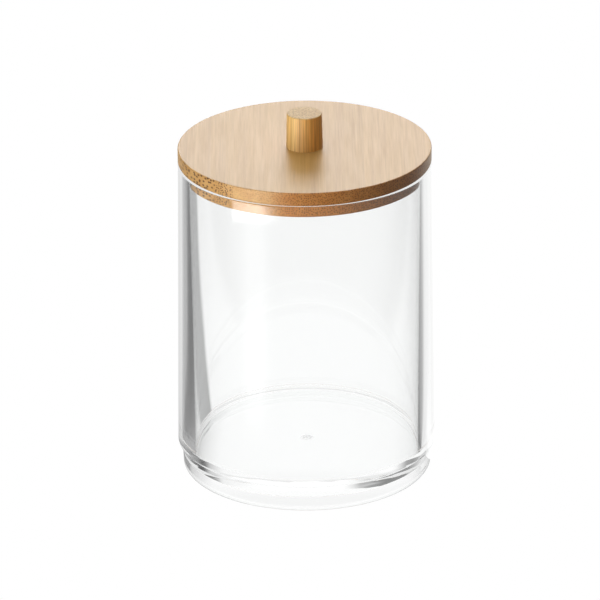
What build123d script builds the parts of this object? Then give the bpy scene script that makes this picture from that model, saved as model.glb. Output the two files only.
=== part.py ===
# Round clear storage jar with a flat bamboo lid.
# The jar is one thick-walled moulding that stands on a set-in foot ring. The lid is one glued-up board: a disc
# that covers the rim, and a plug below it that drops into the mouth. A small turned knob stands on the lid,
# held from below by a countersunk wood screw.
# The origin is on the axis, where the foot stands. +Z is up, and lengths are in millimetres.
import os

from build123d import *

# Jar wall and rim
jar_radius = 47.5  # outside of the wall at the rim
wall_draft = 1.4  # how far the outside widens from the rim down to the ledge
jar_height = 123.5  # from the ground to the top of the rim
rim_wall = 3.9  # wall thickness at the mouth
floor_wall = 6.1  # wall thickness at the floor: the inside narrows downwards so that the core can leave
rim_break_share = 0.15  # of the wall at the mouth

# Jar floor and the recess under it
recess_depth = 5.2
recess_draft = 0.3  # how far the recess narrows from its mouth to its roof
floor_thickness = 6.7
floor_corner_share = 0.1  # of the wall at the floor

# Ledge and foot ring: the foot is set in under the wall, flares out to the ledge and narrows downwards
ledge_height = 10.8
ledge_width = 1.6
foot_flare_share = 0.45  # of the ledge's width
foot_draft = 0.4
foot_ring_width = 4.0
foot_break_share = 0.28  # of the ring's width

# Gate mark: the shallow dish that the moulding leaves under the middle of the floor
gate_dish_radius = 2.6
gate_dish_depth = 0.4

# Lid: disc and plug of one board
lid_setback = 0.1  # disc edge to the jar's outside
disc_thickness = 5.2
disc_break_share = 0.07  # of the disc's thickness
plug_depth = 5.4
plug_clearance = 0.4  # plug to the mouth, on the radius
plug_break_share = 0.1  # of the plug's depth

# Knob
knob_base_radius = 6.85
knob_top_radius = 6.55
knob_height = 13.25
knob_break_share = 0.06  # of the radius at the top

# Knob screw
screw_head_radius = 3.6
screw_head_rim = 0.3  # straight edge of the head
screw_shank_radius = 1.75
screw_sink = 0.3  # head face to the plug's underside
screw_bite_share = 0.55  # of the knob's height
screw_point_share = 0.3  # of the bite
screw_clearance = 0.15  # screw to its hole, on the radius
pilot_room = 0.6  # free depth past the screw's point
drive_radius_share = 0.55  # of the head's radius
drive_tip_share = 0.3  # of the drive's radius
drive_depth_share = 0.9  # of the head's cone
drive_slot_share = 0.4  # of the drive's radius

# How far a cut runs past the face that it opens
overrun = 1.0

# Levels and radii that follow
mouth_radius = jar_radius - rim_wall
base_radius = jar_radius + wall_draft
floor_radius = base_radius - floor_wall
floor_level = recess_depth + floor_thickness
foot_top_radius = base_radius - ledge_width
foot_base_radius = foot_top_radius - foot_draft
recess_mouth_radius = foot_base_radius - foot_ring_width
recess_roof_radius = recess_mouth_radius - recess_draft
gate_roof = recess_depth + gate_dish_depth
disc_radius = jar_radius - lid_setback
plug_radius = mouth_radius - plug_clearance
plug_level = jar_height - plug_depth
lid_level = jar_height + disc_thickness
screw_bite = knob_height * screw_bite_share
screw_cone = screw_head_radius - screw_shank_radius  # a countersink of 90 degrees
head_level = plug_level + screw_sink
point_level = lid_level + screw_bite


def turned(corners):
    """Turn a half outline about Z. A corner is its radius, its height and its rounding."""
    points = [(radius, height) for radius, height, rounding in corners]
    roundings = [rounding for radius, height, rounding in corners]
    outline = FilletPolyline(*points, radius=roundings, close=True)
    return revolve(Plane.XZ * make_face(outline), Axis.Z)


def make_jar():
    """The clear moulding, from the gate mark out under the foot, up the wall and back down inside."""
    rim_break = rim_wall * rim_break_share
    foot_break = foot_ring_width * foot_break_share
    foot_flare = ledge_width * foot_flare_share
    return turned(
        [
            (0, gate_roof, 0),
            (gate_dish_radius, recess_depth, 0),
            (recess_roof_radius, recess_depth, 0),
            (recess_mouth_radius, foot_break, 0),
            (recess_mouth_radius + foot_break, 0, 0),
            (foot_base_radius - foot_break, 0, 0),
            (foot_base_radius, foot_break, 0),
            (foot_top_radius, ledge_height - foot_flare, 0),
            (foot_top_radius + foot_flare, ledge_height, 0),
            (base_radius, ledge_height, 0),
            (jar_radius, jar_height - rim_break, 0),
            (jar_radius - rim_break, jar_height, 0),
            (mouth_radius + rim_break, jar_height, 0),
            (mouth_radius, jar_height - rim_break, 0),
            (floor_radius, floor_level, floor_wall * floor_corner_share),
            (0, floor_level, 0),
        ]
    )


def make_lid():
    """The board: plug in the mouth, disc on the rim, and the countersunk hole for the screw."""
    disc_break = disc_thickness * disc_break_share
    plug_break = plug_depth * plug_break_share
    board = turned(
        [
            (0, plug_level, 0),
            (plug_radius - plug_break, plug_level, 0),
            (plug_radius, plug_level + plug_break, 0),
            (plug_radius, jar_height, 0),
            (disc_radius - disc_break, jar_height, 0),
            (disc_radius, jar_height + disc_break, 0),
            (disc_radius, lid_level - disc_break, 0),
            (disc_radius - disc_break, lid_level, 0),
            (0, lid_level, 0),
        ]
    )
    return board - screw_room()


def make_knob():
    """The tapered dowel on the lid, with the blind pilot hole for the screw."""
    knob_level = lid_level + knob_height
    knob_break = knob_top_radius * knob_break_share
    dowel = turned(
        [
            (0, lid_level, 0),
            (knob_base_radius, lid_level, 0),
            (knob_top_radius, knob_level - knob_break, 0),
            (knob_top_radius - knob_break, knob_level, 0),
            (0, knob_level, 0),
        ]
    )
    return dowel - screw_room()


def screw_room():
    """The space that the screw takes in lid and knob, open through the plug's underside."""
    head_room = screw_head_radius + screw_clearance
    shank_room = screw_shank_radius + screw_clearance
    return turned(
        [
            (0, plug_level - overrun, 0),
            (head_room, plug_level - overrun, 0),
            (head_room, head_level + screw_head_rim, 0),
            (shank_room, head_level + screw_head_rim + screw_cone, 0),
            (shank_room, point_level + pilot_room, 0),
            (0, point_level + pilot_room, 0),
        ]
    )


def make_screw():
    """The countersunk wood screw, head down, with a tapered cross drive in its face."""
    point_length = screw_bite * screw_point_share
    screw = turned(
        [
            (0, head_level, 0),
            (screw_head_radius, head_level, 0),
            (screw_head_radius, head_level + screw_head_rim, 0),
            (screw_shank_radius, head_level + screw_head_rim + screw_cone, 0),
            (screw_shank_radius, point_level - point_length, 0),
            (0, point_level, 0),
        ]
    )
    drive_radius = screw_head_radius * drive_radius_share
    drive_depth = screw_cone * drive_depth_share
    drive_slot = drive_radius * drive_slot_share
    taper = Cone(
        drive_radius,
        drive_radius * drive_tip_share,
        drive_depth,
        align=(Align.CENTER, Align.CENTER, Align.MIN),
    )
    arm = Box(
        drive_radius * 2,
        drive_slot,
        drive_depth,
        align=(Align.CENTER, Align.CENTER, Align.MIN),
    )
    cross = taper & (arm + Rot(0, 0, 90) * arm)
    return screw - Pos(0, 0, head_level) * cross


def write(solid, node):
    """Write one piece under its own name."""
    solid.label = node
    export_step(solid, f"parts/{node}.step")


os.makedirs("parts", exist_ok=True)
write(make_jar(), "jar_body")
write(make_lid(), "lid")
write(make_knob(), "knob")
write(make_screw(), "knob_screw")
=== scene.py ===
# Round clear storage jar with a flat bamboo lid and a small bamboo knob.
# Lengths are metres, in the part's own frame: +Z up along the jar's axis, foot on z = 0, -Y to the viewer.
import math

import bmesh
import bpy
from mathutils import Matrix, Vector


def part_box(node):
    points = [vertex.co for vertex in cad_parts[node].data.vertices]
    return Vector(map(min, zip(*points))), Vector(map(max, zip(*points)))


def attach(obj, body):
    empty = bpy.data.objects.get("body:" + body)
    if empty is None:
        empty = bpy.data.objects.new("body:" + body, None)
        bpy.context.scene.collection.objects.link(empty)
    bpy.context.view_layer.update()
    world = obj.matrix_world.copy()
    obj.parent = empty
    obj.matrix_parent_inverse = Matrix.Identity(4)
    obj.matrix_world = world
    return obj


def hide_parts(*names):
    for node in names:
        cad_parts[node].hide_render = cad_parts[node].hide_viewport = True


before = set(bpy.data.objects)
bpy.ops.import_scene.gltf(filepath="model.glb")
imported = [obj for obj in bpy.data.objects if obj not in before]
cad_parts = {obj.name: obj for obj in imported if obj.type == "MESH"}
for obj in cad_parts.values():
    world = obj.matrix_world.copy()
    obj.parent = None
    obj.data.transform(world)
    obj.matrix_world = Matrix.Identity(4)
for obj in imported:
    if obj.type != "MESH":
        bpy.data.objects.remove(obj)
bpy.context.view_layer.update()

jar_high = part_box("jar_body")[1]
lid_low, lid_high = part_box("lid")
knob_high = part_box("knob")[1]
screw_low, screw_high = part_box("knob_screw")

# Jar, as moulded
base_radius = jar_high.x
wall_draft = 0.0014
jar_radius = base_radius - wall_draft
rim_level = jar_high.z
rim_air = 0.00004  # the film of air between the rim and the board that lies on it
rim_wall = 0.0039
rim_round = 0.0008
floor_wall = 0.0061
floor_level = 0.0119
floor_round = 0.00006
recess_level = 0.0052
recess_draft = 0.0003
recess_round = 0.0002
ledge_level = 0.0108
ledge_width = 0.0016
ledge_round = 0.00015
foot_cove = 0.0001
foot_draft = 0.0004
foot_ring = 0.0040
foot_round = 0.0019
gate_dish_radius = 0.0026
gate_dish_depth = 0.0004

# Lid board and knob, as turned
disc_radius = lid_high.x
disc_round = 0.00045
plug_level = lid_low.z
plug_clearance = 0.0004
plug_round = 0.0005
lid_level = lid_high.z
knob_base_radius = knob_high.x
knob_top_radius = 0.00655
knob_level = knob_high.z
knob_round = 0.0004

# The knob's screw, and the room that it has in the board and in the knob
screw_shank_radius = 0.00175
screw_head_rim = 0.0003  # the straight edge of its head
screw_clearance = 0.00015
pilot_room = 0.0006  # free depth past its point
screw_head_room = screw_high.x + screw_clearance
screw_shank_room = screw_shank_radius + screw_clearance
screw_head_top = screw_low.z + screw_head_rim
pilot_level = screw_high.z + pilot_room

# How finely round things are turned
jar_steps = 384
wood_steps = 224
knob_steps = 96
dish_rings = 8
round_segments = 5  # at the least
round_step = 0.0004  # a rounding has one more segment for each of these
crease_degrees = 35
same_place = 1e-7  # points that lie closer are one point
ring_reach = 1e-6  # how far a point may lie off the ring that it belongs to


# Meshes

def turned(name, outline, steps):
    """A body turned about Z. A corner of the half outline is its radius, its height and its rounding."""
    bm = bmesh.new()
    verts = [bm.verts.new((radius, 0, height)) for radius, height, rounding in outline]
    edges = [bm.edges.new(pair) for pair in zip(verts, verts[1:])]
    bmesh.ops.spin(
        bm, geom=verts + edges, cent=(0, 0, 0), axis=(0, 0, 1), angle=math.tau, steps=steps, use_merge=True
    )
    bmesh.ops.remove_doubles(bm, verts=bm.verts, dist=same_place)
    bmesh.ops.recalc_face_normals(bm, faces=bm.faces)
    for radius, height, rounding in outline:
        if rounding:
            round_ring(bm, radius, height, rounding)
    shade(bm)
    mesh = bpy.data.meshes.new(name)
    bm.to_mesh(mesh)
    bm.free()
    piece = bpy.data.objects.new(name, mesh)
    bpy.context.collection.objects.link(piece)
    weigh = piece.modifiers.new("even_walls", "WEIGHTED_NORMAL")
    weigh.keep_sharp = True
    return piece


def round_ring(bm, radius, height, rounding):
    """Round the ring of edges that a corner of the outline left."""

    def on_ring(vert):
        return abs(vert.co.xy.length - radius) < ring_reach and abs(vert.co.z - height) < ring_reach

    ring = [edge for edge in bm.edges if all(on_ring(vert) for vert in edge.verts)]
    bmesh.ops.bevel(
        bm, geom=ring, offset=rounding, offset_type="OFFSET", profile=0.5, affect="EDGES",
        segments=round_segments + int(rounding / round_step), clamp_overlap=True, material=-1
    )


def shade(bm):
    """Smooth all round, with a crease where two faces meet at a real corner."""
    for face in bm.faces:
        face.smooth = True
    for edge in bm.edges:
        edge.smooth = edge.calc_face_angle(0) < math.radians(crease_degrees)


def make_jar():
    """The clear moulding: gate mark, recess, foot ring, ledge, wall, rim, and back down to the floor."""
    foot_top = base_radius - ledge_width
    foot_base = foot_top - foot_draft
    recess_mouth = foot_base - foot_ring
    rim = rim_level - rim_air
    dish_places = [ring / dish_rings for ring in range(dish_rings)]
    outline = [
        (gate_dish_radius * place, recess_level + gate_dish_depth * (1 + math.cos(math.pi * place)) / 2, 0)
        for place in dish_places
    ]
    outline += [
        (gate_dish_radius, recess_level, 0),
        (recess_mouth - recess_draft, recess_level, recess_round),
        (recess_mouth, 0, foot_round),
        (foot_base, 0, foot_round),
        (foot_top, ledge_level, foot_cove),
        (base_radius, ledge_level, ledge_round),
        (jar_radius, rim, rim_round),
        (jar_radius - rim_wall, rim, rim_round),
        (base_radius - floor_wall, floor_level, floor_round),
        (0, floor_level, 0),
    ]
    piece = turned("clear_jar", outline, jar_steps)
    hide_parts("jar_body")
    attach(piece, "jar")
    return piece


def make_lid():
    """The bamboo board: plug below, disc above, and the countersunk hole up its middle."""
    plug_radius = jar_radius - rim_wall - plug_clearance
    sink_level = screw_head_top + screw_head_room - screw_shank_room
    outline = [
        (screw_shank_room, lid_level, 0),
        (screw_shank_room, sink_level, 0),
        (screw_head_room, screw_head_top, 0),
        (screw_head_room, plug_level, 0),
        (plug_radius, plug_level, plug_round),
        (plug_radius, rim_level, 0),
        (disc_radius, rim_level, disc_round),
        (disc_radius, lid_level, disc_round),
        (screw_shank_room, lid_level, 0),
    ]
    piece = turned("lid_board", outline, wood_steps)
    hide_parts("lid")
    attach(piece, "lid_with_knob")
    return piece


def make_knob():
    """The tapered dowel on the lid, with the blind hole for its screw."""
    outline = [
        (0, pilot_level, 0),
        (screw_shank_room, pilot_level, 0),
        (screw_shank_room, lid_level, 0),
        (knob_base_radius, lid_level, 0),
        (knob_top_radius, knob_level, knob_round),
        (0, knob_level, 0),
    ]
    piece = turned("knob_dowel", outline, knob_steps)
    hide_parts("knob")
    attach(piece, "lid_with_knob")
    return piece


# Node helpers

def add(tree, kind, given=None, **settings):
    """A node with its settings. Each given input is a number, a colour, a vector or another node's output."""
    node = tree.nodes.new(kind)
    for key, setting in settings.items():
        setattr(node, key, setting)
    for key, source in (given or {}).items():
        if isinstance(source, bpy.types.NodeSocket):
            tree.links.new(source, node.inputs[key])
        else:
            node.inputs[key].default_value = source
    return node


def maths(tree, operation, *given):
    """The result of one sum on numbers."""
    return add(tree, "ShaderNodeMath", dict(enumerate(given)), operation=operation).outputs[0]


def vectors(tree, operation, *given):
    """The result of one sum on vectors."""
    return add(tree, "ShaderNodeVectorMath", dict(enumerate(given)), operation=operation).outputs["Vector"]


def length(tree, vector):
    """How long a vector is."""
    return add(tree, "ShaderNodeVectorMath", {0: vector}, operation="LENGTH").outputs["Value"]


def parts(tree, vector):
    """The X, Y and Z of a vector."""
    return add(tree, "ShaderNodeSeparateXYZ", {0: vector}).outputs


def vector_of(tree, x, y, z=0.0):
    """A vector from its parts."""
    return add(tree, "ShaderNodeCombineXYZ", {0: x, 1: y, 2: z}).outputs[0]


def either(tree, share, first, second):
    """The first number, or the second where the share is 1."""
    return add(tree, "ShaderNodeMix", {"Factor": share, "A": first, "B": second}).outputs["Result"]


def blend(tree, share, first, second):
    """A colour between two others."""
    given = {"Factor": share, "A": first, "B": second}
    return add(tree, "ShaderNodeMix", given, data_type="RGBA").outputs["Result"]


def scaled(tree, colour, strength):
    """A colour made stronger or weaker."""
    given = {0: colour, "Scale": strength}
    return add(tree, "ShaderNodeVectorMath", given, operation="SCALE").outputs["Vector"]


def spread(tree, source, low, high, new_low=0.0, new_high=1.0, smooth=False):
    """A number carried from one range to another, held at both ends."""
    given = {"Value": source, "From Min": low, "From Max": high, "To Min": new_low, "To Max": new_high}
    kind = "SMOOTHSTEP" if smooth else "LINEAR"
    return add(tree, "ShaderNodeMapRange", given, interpolation_type=kind).outputs["Result"]


def steps_of(tree, source, stops):
    """A number read off a line through stops, each a place from 0 to 1 and a level."""
    node = add(tree, "ShaderNodeValToRGB", {"Fac": source})
    ramp = node.color_ramp
    while len(ramp.elements) < len(stops):
        ramp.elements.new(0.5)
    for element, (place, level) in zip(ramp.elements, stops):
        element.position = place
        element.color = (level, level, level, 1)
    return node.outputs["Color"]


def noise(tree, place, scale, detail, roughness=0.5):
    """A cloudy number from 0 to 1."""
    given = {"Vector": place, "Scale": scale, "Detail": detail, "Roughness": roughness}
    return add(tree, "ShaderNodeTexNoise", given).outputs["Fac"]


def new_group(name, inputs, outputs):
    """A node group with named inputs and outputs: the group and the nodes at its two ends."""
    group = bpy.data.node_groups.new(name, "ShaderNodeTree")
    for label, kind in inputs:
        group.interface.new_socket(label, in_out="INPUT", socket_type=kind)
    for label, kind in outputs:
        group.interface.new_socket(label, in_out="OUTPUT", socket_type=kind)
    return group, group.nodes.new("NodeGroupInput"), group.nodes.new("NodeGroupOutput")


# Materials

def new_material(name):
    """A material with a Principled shader, its node tree and that shader."""
    material = bpy.data.materials.new(name)
    material.use_nodes = True
    return material, material.node_tree, material.node_tree.nodes["Principled BSDF"]


def gate_mark(tree, place):
    """A mask of the gate mark: 1 in the dish under the middle of the floor, 0 from just past its edge."""
    mark_edge = gate_dish_radius * 1.3
    mark_middle = gate_dish_radius * 0.4
    half_floor = (recess_level + floor_level) / 2
    under_floor = maths(tree, "LESS_THAN", parts(tree, place)["Z"], half_floor)
    away = length(tree, vectors(tree, "MULTIPLY", place, (1, 1, 0)))
    dish = spread(tree, away, mark_edge, mark_middle, smooth=True)
    return maths(tree, "MULTIPLY", dish, under_floor)


def clear_plastic():
    """Polished clear plastic with the faint waves of a thick moulding and a dull gate mark.

    Lamps shine through it, and rays that have met its faces many times end in a painted glow: an even
    emission that stands in for light caught in the wall.
    """
    polished = (0.985, 0.99, 0.988, 1)
    dulled = (0.90, 0.905, 0.905, 1)
    lamp_tint = (0.98, 0.985, 0.983, 1)
    polished_rough, dulled_rough = 0.01, 0.45
    upright = (1, 1, 0.06)  # draws the waves out along the wall
    wave_scale, wave_depth, wave_strength = 110.0, 0.0002, 0.15
    most_meetings = 7.5  # rays that have met the plastic's faces more often than this end in the painted glow
    painted_glow_strength = 0.88
    material, tree, shader = new_material("clear_plastic")
    shader.inputs["IOR"].default_value = 1.57
    shader.inputs["Transmission Weight"].default_value = 1.0
    place = add(tree, "ShaderNodeTexCoord").outputs["Object"]
    dull = gate_mark(tree, place)
    tree.links.new(blend(tree, dull, polished, dulled), shader.inputs["Base Color"])
    rough = spread(tree, dull, 0.0, 1.0, polished_rough, dulled_rough)
    tree.links.new(rough, shader.inputs["Roughness"])
    waves = noise(tree, vectors(tree, "MULTIPLY", place, upright), wave_scale, 1.0)
    wavy = {"Strength": wave_strength, "Distance": wave_depth, "Height": waves}
    tree.links.new(add(tree, "ShaderNodeBump", wavy).outputs["Normal"], shader.inputs["Normal"])
    path = add(tree, "ShaderNodeLightPath").outputs
    deep_rays = maths(tree, "GREATER_THAN", path["Ray Depth"], most_meetings)
    # painted glow: an emission on the plastic, though it is no lamp
    glow = add(tree, "ShaderNodeEmission", {"Strength": painted_glow_strength}).outputs[0]
    inside = add(tree, "ShaderNodeMixShader", {0: deep_rays, 1: shader.outputs[0], 2: glow}).outputs[0]
    through = add(tree, "ShaderNodeBsdfTransparent", {"Color": lamp_tint}).outputs[0]
    surface = add(tree, "ShaderNodeMixShader", {0: path["Is Shadow Ray"], 1: inside, 2: through})
    tree.links.new(surface.outputs[0], tree.nodes["Material Output"].inputs["Surface"])
    return material


def fibre_group():
    """Bamboo fibres that run along Z: fine streaks, a broad tone, and the dark pores of the bundles."""
    along = 0.03  # a streak is about thirty times as long as it is wide
    streak_scale, tone_scale = 1900.0, 330.0
    pore_edge, pore_middle = 0.36, 0.18  # in shares of the pores' spacing
    group, start, end = new_group(
        "bamboo_fibre",
        [("Place", "NodeSocketVector"), ("Pore Spacing", "NodeSocketFloat")],
        [("Streak", "NodeSocketFloat"), ("Tone", "NodeSocketFloat"), ("Pore", "NodeSocketFloat")],
    )
    drawn = vectors(group, "MULTIPLY", start.outputs["Place"], (1, 1, along))
    fine = noise(group, drawn, streak_scale, 2.0, 0.6)
    broad = noise(group, drawn, tone_scale, 2.0)
    cells = maths(group, "DIVIDE", 1.0, start.outputs["Pore Spacing"])
    bundles = {"Vector": drawn, "Scale": cells, "Randomness": 0.85}
    pores = add(group, "ShaderNodeTexVoronoi", bundles, voronoi_dimensions="2D").outputs["Distance"]
    group.links.new(spread(group, fine, 0.3, 0.7), end.inputs["Streak"])
    group.links.new(spread(group, broad, 0.3, 0.7), end.inputs["Tone"])
    group.links.new(spread(group, pores, pore_edge, pore_middle, smooth=True), end.inputs["Pore"])
    return group


def bamboo_fibres(tree, group, place, pore_spacing):
    """The fibres at a place, with pores as far apart as given."""
    given = {"Place": place, "Pore Spacing": pore_spacing}
    return add(tree, "ShaderNodeGroup", given, node_tree=group).outputs


def bamboo_colour(tree, fibres, depth, pore_share, light, dark, pore):
    """The colour of bamboo from its streaks, as deep as given, its tone and its pores."""
    tone = blend(tree, fibres["Tone"], dark, light)
    strength = spread(tree, fibres["Streak"], 0.0, 1.0, 1.0 - depth, 1.0 + depth)
    pores = maths(tree, "MULTIPLY", fibres["Pore"], pore_share)
    return blend(tree, pores, scaled(tree, tone, strength), pore)


def lid_tones(tree, across, ends):
    """The board's light and dark tones, on its face and on its cut ends. The ends are paler to the left and
    redder to the right: painted light and shade.
    """
    red_from, red_to = -0.018, -0.004
    # painted light and shade: the ends' tones run from pale on the left to red on the right
    painted_shade_reddening = spread(tree, across, red_from, red_to, smooth=True)
    light_end = blend(tree, painted_shade_reddening, (0.62, 0.36, 0.125, 1), (0.56, 0.24, 0.062, 1))
    dark_end = blend(tree, painted_shade_reddening, (0.54, 0.285, 0.085, 1), (0.47, 0.18, 0.040, 1))
    light = blend(tree, ends, (0.585, 0.34, 0.10, 1), light_end)
    dark = blend(tree, ends, (0.52, 0.29, 0.08, 1), dark_end)
    return light, dark


def lid_brightness(tree, chance, place, ends):
    """How bright the board is: each strip by chance, with painted shade that darkens the ends to the right
    and painted light that brightens the plug.
    """
    plug_edge = 0.0002  # how far above the rim the plug's painted extra light fades out
    painted_plug_light = 1.3
    dark_from, dark_to = 0.008, 0.03  # across the lid, where the painted shade on the ends deepens
    # painted shade: how dark the ends are left at the right
    dark_end = 0.75
    dull_strip, bright_strip = 0.97, 1.03
    by_strip = spread(tree, chance, 0.0, 1.0, dull_strip, bright_strip)
    painted_side_shade = maths(tree, "MULTIPLY", spread(tree, place["X"], dark_from, dark_to), ends)
    painted_shade_factor = spread(tree, painted_side_shade, 0.0, 1.0, 1.0, dark_end)
    painted_plug_factor = spread(tree, place["Z"], rim_level + plug_edge, rim_level, 1.0, painted_plug_light)
    return maths(tree, "MULTIPLY", maths(tree, "MULTIPLY", by_strip, painted_shade_factor), painted_plug_factor)


def lid_bamboo(group):
    """A board glued up from strips that run along Y: streaks on top, pores where the edge cuts the fibres."""
    strip_width = 0.0242
    strip_edge = -0.0264  # where one of the glue lines lies
    strip_shift = 0.37  # along the fibres, so that no strip repeats another
    streak_depth = 0.06
    rough, smooth = 0.44, 0.36
    pore = (0.10, 0.035, 0.008, 1)
    pore_shares = [  # from the lid's left edge to its right one
        (0.0, 0.2), (0.02, 1.0), (0.21, 1.0), (0.225, 0.12), (0.37, 0.3), (0.47, 0.6), (0.75, 0.6), (1.0, 0.6)
    ]
    coarse_spacing, fine_spacing = 0.0013, 0.00085
    bold_from, bold_to = -0.030, -0.035  # the pores are coarse beyond this, on the left
    material, tree, shader = new_material("lid_bamboo")
    where = add(tree, "ShaderNodeTexCoord").outputs
    place = parts(tree, where["Object"])
    across = place["X"]
    strip = maths(tree, "DIVIDE", maths(tree, "SUBTRACT", across, strip_edge), strip_width)
    number = maths(tree, "FLOOR", strip)
    chance = add(tree, "ShaderNodeTexWhiteNoise", {"W": number}, noise_dimensions="1D").outputs["Value"]
    along = maths(tree, "ADD", place["Y"], maths(tree, "MULTIPLY", number, strip_shift))
    drawn = vector_of(tree, across, place["Z"], along)
    coarse = bamboo_fibres(tree, group, drawn, coarse_spacing)
    fine = bamboo_fibres(tree, group, drawn, fine_spacing)
    cut = maths(tree, "ABSOLUTE", parts(tree, where["Normal"])["Y"])  # how squarely a face cuts the fibres
    ends = spread(tree, cut, 0.1, 0.5)
    share = steps_of(tree, spread(tree, across, -jar_radius, jar_radius), pore_shares)
    seen = maths(tree, "MULTIPLY", share, spread(tree, cut, 0.0, 0.5, 0.06, 1.0))
    light, dark = lid_tones(tree, across, ends)
    plain = bamboo_colour(tree, fine, streak_depth, seen, light, dark, pore)
    bold = bamboo_colour(tree, coarse, streak_depth, seen, light, dark, pore)
    both = blend(tree, spread(tree, across, bold_from, bold_to, smooth=True), plain, bold)
    toned = scaled(tree, both, lid_brightness(tree, chance, place, ends))
    tree.links.new(toned, shader.inputs["Base Color"])
    tree.links.new(spread(tree, fine["Streak"], 0.0, 1.0, rough, smooth), shader.inputs["Roughness"])
    return material


def knob_bamboo(group):
    """A dowel cut along the fibres: streaks up its side and pores on its top. Its side is paler to the left
    and redder to the right: painted light and shade.
    """
    streak_depth = 0.18
    pore_spacing, pore_share = 0.0012, 0.5
    pore = (0.33, 0.14, 0.032, 1)
    red_from, red_to = -0.0055, 0.0045
    material, tree, shader = new_material("knob_bamboo")
    shader.inputs["Roughness"].default_value = 0.5
    where = add(tree, "ShaderNodeTexCoord").outputs
    fibres = bamboo_fibres(tree, group, where["Object"], pore_spacing)
    top = spread(tree, parts(tree, where["Normal"])["Z"], 0.4, 0.8)
    # painted light and shade: the side's tones run from pale on the left to red on the right
    painted_shade_reddening = spread(tree, parts(tree, where["Object"])["X"], red_from, red_to, smooth=True)
    light_side = blend(tree, painted_shade_reddening, (0.82, 0.54, 0.20, 1), (0.76, 0.37, 0.085, 1))
    dark_side = blend(tree, painted_shade_reddening, (0.66, 0.38, 0.11, 1), (0.58, 0.25, 0.048, 1))
    light = blend(tree, top, light_side, (0.67, 0.46, 0.18, 1))
    dark = blend(tree, top, dark_side, (0.56, 0.34, 0.11, 1))
    colour = bamboo_colour(tree, fibres, streak_depth, pore_share, light, dark, pore)
    tree.links.new(colour, shader.inputs["Base Color"])
    return material


def screw_steel():
    """Zinc-plated steel with a fine grain."""
    grain_scale = 2500.0
    bright_rough, dull_rough = 0.22, 0.38
    material, tree, shader = new_material("screw_steel")
    shader.inputs["Base Color"].default_value = (0.62, 0.61, 0.58, 1)
    shader.inputs["Metallic"].default_value = 1.0
    grain = noise(tree, add(tree, "ShaderNodeTexCoord").outputs["Object"], grain_scale, 2.0)
    tree.links.new(spread(tree, grain, 0.3, 0.7, bright_rough, dull_rough), shader.inputs["Roughness"])
    return material


# Stage

def degrees_round(stops):
    """Stops given as degrees to the left of straight behind, carried to places from 0 to 1."""
    return [((degrees + 180) / 360, level) for degrees, level in stops]


def turn_of(tree, part):
    """How far a direction, given as its parts, is turned from straight behind, as a place from 0 to 1."""
    left = maths(tree, "MULTIPLY", part["X"], -1.0)
    return spread(tree, maths(tree, "ARCTAN2", left, part["Y"]), -math.pi, math.pi)


def surround_group():
    """How bright it is round the jar: a white sweep behind it and a darker room beside it.

    Straight is what the jar lets through. Mirrored and Raised are what its inner faces show of the floor and
    of the room, and Outside is what its outer face mirrors. Middle, High and Above follow Raised further up.
    """
    group, start, end = new_group(
        "surround",
        [("Direction", "NodeSocketVector")],
        [(label, "NodeSocketFloat") for label in ("Straight", "Mirrored", "Raised", "Outside")],
    )
    levels = {
        "Straight": [(-180, 1.08), (17.6, 1.08), (19.4, 0.36), (36, 0.34), (44, 1.0), (180, 1.08)],
        "Mirrored": [
            (-180, 0.35), (-90, 0.3), (-70, 0.1), (-50, 0.12), (-46, 0.28), (-40, 0.33), (-37, 0.48),
            (-34, 0.72), (-31, 0.85), (-20, 0.85), (-10, 1.0), (10, 1.1), (18, 1.0), (23, 0.65), (28, 0.4),
            (33, 0.33), (37, 0.32), (43, 0.16), (50, 0.16), (61, 0.22), (80, 0.35), (120, 0.4), (180, 0.35)
        ],
        "Raised": [
            (-180, 0.6), (-90, 0.5), (-72, 0.5), (-62, 0.42), (-57, 0.2), (-50, 0.12), (-44, 0.18),
            (-41, 0.2), (-38.5, 0.45), (-36, 0.95), (-15, 1.1), (13, 1.1), (17.5, 0.8), (20, 0.49),
            (24, 0.37), (28, 0.29), (33, 0.24), (38, 0.27), (45, 0.25), (49, 0.72), (57, 0.6), (90, 0.5),
            (180, 0.6)
        ],
        "Middle": [
            (-180, 0.6), (-90, 0.5), (-72, 0.2), (-65, 0.05), (-59, 0.0), (-53, 0.0), (-50, 0.25),
            (-47, 0.62), (-38, 0.88), (-30, 1.1), (13, 1.1), (18, 1.0), (24, 0.74), (26, 0.67), (30, 0.4),
            (36, 0.3), (44, 0.25), (50, 0.25), (60, 0.6), (70, 1.0), (90, 0.6), (180, 0.6)
        ],
        "High": [
            (-180, 0.6), (-90, 0.6), (-72, 0.3), (-64, 0.2), (-59, 0.2), (-55, 0.06), (-51, 0.1), (-46, 0.6),
            (-40, 0.88), (-37, 1.0), (0, 1.1), (36, 1.1), (40, 1.0), (44, 0.7), (48, 0.35), (54, 0.25),
            (60, 0.3), (66, 0.6), (90, 0.5), (180, 0.6)
        ],
        "Above": [(-180, 2.2), (180, 2.2)],
        "Outside": [
            (-180, 0.3), (-60, 0.5), (-40, 1.0), (8, 1.1), (20, 0.65), (32, 0.55), (38, 0.45), (46, 0.32),
            (60, 0.25), (75, 0.45), (115, 0.45), (140, 0.3), (180, 0.3)
        ],
    }
    climbs = (("Middle", 22.6, 24.3), ("High", 24.9, 26.8), ("Above", 38, 46))  # degrees above the level
    part = parts(group, start.outputs["Direction"])
    turn = turn_of(group, part)
    seen = {label: steps_of(group, turn, degrees_round(stops)) for label, stops in levels.items()}
    for label, low, high in climbs:
        climb = spread(group, part["Z"], math.sin(math.radians(low)), math.sin(math.radians(high)))
        seen["Raised"] = blend(group, climb, seen["Raised"], seen.pop(label))
    for label, level in seen.items():
        group.links.new(level, end.inputs[label])
    return group


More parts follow.
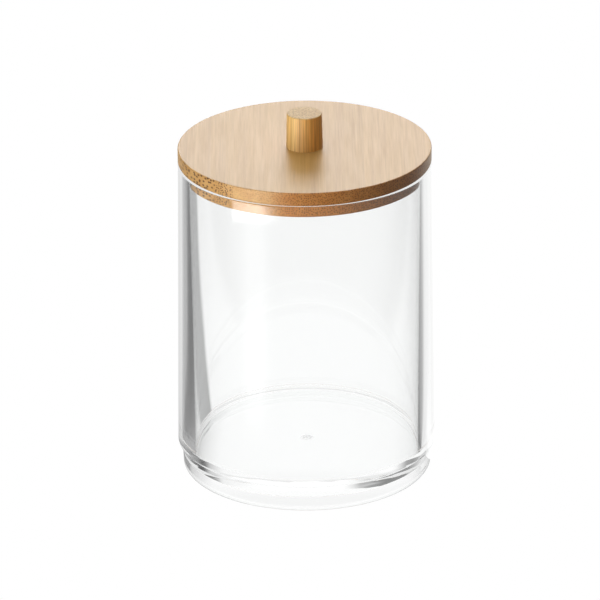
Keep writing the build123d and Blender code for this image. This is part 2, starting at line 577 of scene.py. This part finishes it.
def seen_level(tree, direction, outer, group, mirror, plain, lit, dim=1.0, glare=0.0):
    """How bright the surround is: plain to the camera, lit to the wood, and else as the jar shows it.

    The jar's outer face reads the surround by the outer direction, with the glare added. All else reads it by
    the other direction: mirror names what the inner faces show, and dim, a painted shade, weakens what the
    jar lets through.
    """
    path = add(tree, "ShaderNodeLightPath").outputs
    around = add(tree, "ShaderNodeGroup", {"Direction": direction}, node_tree=group).outputs
    beyond = add(tree, "ShaderNodeGroup", {"Direction": outer}, node_tree=group).outputs
    turned_back = maths(tree, "GREATER_THAN", path["Glossy Depth"], 0.5)
    entered = maths(tree, "GREATER_THAN", path["Transmission Depth"], 0.5)
    gathered = maths(tree, "GREATER_THAN", path["Diffuse Depth"], 0.5)
    outside = maths(tree, "ADD", beyond["Outside"], glare)
    mirrored = either(tree, entered, outside, around[mirror])
    level = either(tree, turned_back, maths(tree, "MULTIPLY", around["Straight"], dim), mirrored)
    level = either(tree, gathered, level, lit)
    return either(tree, path["Is Camera Ray"], level, plain)


def beside_sweep(tree, part):
    """The way to a place on the floor from the nearest point between the feet of the sweep's two edges."""
    sweep_left, sweep_right = -0.0323, 0.060
    held = {"Value": part["X"], "Min": sweep_left, "Max": sweep_right}
    nearest = add(tree, "ShaderNodeClamp", held).outputs[0]
    return vector_of(tree, maths(tree, "SUBTRACT", part["X"], nearest), part["Y"])


def under_jar(tree, part):
    """The direction that floor under the jar stands for: straight behind, or to the right at its back."""
    straight_behind = 0.0018
    back_from, back_to = 0.044, 0.049
    at_back = spread(tree, part["Y"], back_from, back_to)
    right = maths(tree, "MULTIPLY", maths(tree, "MAXIMUM", part["X"], 0.0), at_back)
    return vector_of(tree, right, straight_behind)


def painted_shade_under_jar(tree, part):
    """Painted shade on the floor under the jar: a little darker to the front and to the left."""
    front_from, front_to, front_level = -0.015, -0.03, 0.92
    left_from, left_to, left_level = -0.034, -0.043, 0.75
    front = spread(tree, part["Y"], front_from, front_to, 1.0, front_level)
    left = spread(tree, part["X"], left_from, left_to, 1.0, left_level)
    return maths(tree, "MULTIPLY", front, left)


def light_strip(tree, place):
    """The strip of light to the front left that the wall mirrors, with a flash that the wall's top shows."""
    glare_spot = (-0.0196, -0.0439, 0)  # where the wall shows the strip to the viewer
    strip_stops = [(102, 0.0), (114, 0.15), (122, 0.5), (126, 1.0), (141, 1.0), (147, 0.3), (155, 0.0)]
    flash_stops = [(109, 0.0), (112, 0.75), (130, 1.0), (141, 1.0), (147, 0.5), (152, 0.25), (160, 0.0)]
    strip_from, strip_to, strip_level = 0.06, 0.12, 1.1  # by how far out from that spot
    flash_from, flash_to, flash_level = 0.300, 0.3135, 7.0
    outwards = vectors(tree, "SUBTRACT", place, glare_spot)
    reach = length(tree, outwards)
    turn = turn_of(tree, parts(tree, outwards))
    strip = steps_of(tree, turn, degrees_round(strip_stops))
    flash = steps_of(tree, turn, degrees_round(flash_stops))
    near = maths(tree, "MULTIPLY", strip, spread(tree, reach, strip_from, strip_to, 0.0, strip_level))
    far = maths(tree, "MULTIPLY", flash, spread(tree, reach, flash_from, flash_to, 0.0, flash_level))
    return maths(tree, "ADD", near, far)


def pale_floor(group):
    """The floor's material: white to the camera, and the foot of the surround, with painted shade under the
    jar, to the jar.
    """
    shown, lit = 1.0, 0.14
    clear_from, clear_to = 0.052, 0.062  # from the axis: nearer than this, the floor is under the jar
    material = bpy.data.materials.new("pale_floor")
    material.use_nodes = True
    tree = material.node_tree
    tree.nodes.clear()
    place = add(tree, "ShaderNodeTexCoord").outputs["Object"]
    part = parts(tree, place)
    clear = spread(tree, length(tree, place), clear_from, clear_to)
    aside = beside_sweep(tree, part)
    under = blend(tree, clear, under_jar(tree, part), aside)
    # painted shade under the jar, which the camera sees only through the jar
    dim = maths(tree, "MAXIMUM", painted_shade_under_jar(tree, part), clear)
    level = seen_level(tree, under, aside, group, "Mirrored", shown, lit, dim, light_strip(tree, place))
    glow = add(tree, "ShaderNodeEmission", {"Strength": level})
    add(tree, "ShaderNodeOutputMaterial", {"Surface": glow.outputs[0]})
    return material


def make_floor(group):
    """A plain pale floor, a hair below the foot so that the two faces don't meet."""
    floor_reach = 6.0
    floor_drop = 0.0002
    bm = bmesh.new()
    bmesh.ops.create_grid(bm, x_segments=1, y_segments=1, size=floor_reach)
    bmesh.ops.translate(bm, verts=bm.verts, vec=(0, 0, -floor_drop))
    mesh = bpy.data.meshes.new("floor")
    bm.to_mesh(mesh)
    bm.free()
    mesh.materials.append(pale_floor(group))
    floor = bpy.data.objects.new("floor", mesh)
    bpy.context.collection.objects.link(floor)


def make_world(group):
    """White to the camera, a dim room to the wood, and the surround to the jar."""
    shown, lit = 1.0, 0.12
    world = bpy.data.worlds.new("studio")
    bpy.context.scene.world = world
    world.use_nodes = True
    tree = world.node_tree
    direction = add(tree, "ShaderNodeTexCoord").outputs["Generated"]
    back = tree.nodes["Background"]
    back.inputs["Color"].default_value = (1, 1, 1, 1)
    level = seen_level(tree, direction, direction, group, "Raised", shown, lit)
    tree.links.new(level, back.inputs["Strength"])


def softbox(name, place, width, height, power):
    """A rectangular lamp at place that faces the lid."""
    lid_middle = Vector((0, 0, 0.12))
    data = bpy.data.lights.new(name, "AREA")
    data.shape = "RECTANGLE"
    data.size = width
    data.size_y = height
    data.energy = power
    lamp = bpy.data.objects.new(name, data)
    lamp.location = place
    lamp.rotation_euler = (lid_middle - Vector(place)).to_track_quat("-Z", "Y").to_euler()
    lamp.visible_camera = False
    bpy.context.collection.objects.link(lamp)
    return lamp


def make_lamps(pieces):
    """Three soft lamps that light only the given pieces: the jar shows the surround instead."""
    wood = bpy.data.collections.new("wood")
    for piece in pieces:
        wood.objects.link(piece)
    for lamp in (
        softbox("top_softbox", (0.0, 0.1, 1.0), 0.8, 0.8, 3.2),
        softbox("back_softbox", (0.05, 0.9, 0.53), 0.84, 0.42, 4.1),
        softbox("left_softbox", (-0.39, -0.45, 0.13), 0.4, 0.26, 3.0),
    ):
        lamp.light_linking.receiver_collection = wood


def make_camera():
    """The photograph's view: far back with a long lens, a little above the lid."""
    elevation = math.radians(22.99)
    distance = 2.25
    aim = Vector((-0.0022, 0, 0.06632))
    roll = math.radians(0.50)
    data = bpy.data.cameras.new("camera")
    data.sensor_width = 36
    data.lens = 358.07
    data.clip_end = 20
    camera = bpy.data.objects.new("camera", data)
    bpy.context.collection.objects.link(camera)
    back = Vector((0, -math.cos(elevation), math.sin(elevation)))
    turn = (-back).to_track_quat("-Z", "Y").to_matrix() @ Matrix.Rotation(-roll, 3, "Z")
    camera.matrix_world = Matrix.Translation(aim + back * distance) @ turn.to_4x4()
    bpy.context.scene.camera = camera


jar = make_jar()
lid = make_lid()
knob = make_knob()
jar.data.materials.append(clear_plastic())
fibres = fibre_group()
lid.data.materials.append(lid_bamboo(fibres))
knob.data.materials.append(knob_bamboo(fibres))
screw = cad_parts["knob_screw"]
screw.material_slots[0].material = screw_steel()
surround = surround_group()
make_floor(surround)
make_world(surround)
make_lamps((lid, knob, screw))
make_camera()
scene = bpy.context.scene
scene.view_settings.view_transform = "Standard"
scene.cycles.max_bounces = 32
scene.cycles.glossy_bounces = 24
scene.cycles.transmission_bounces = 24
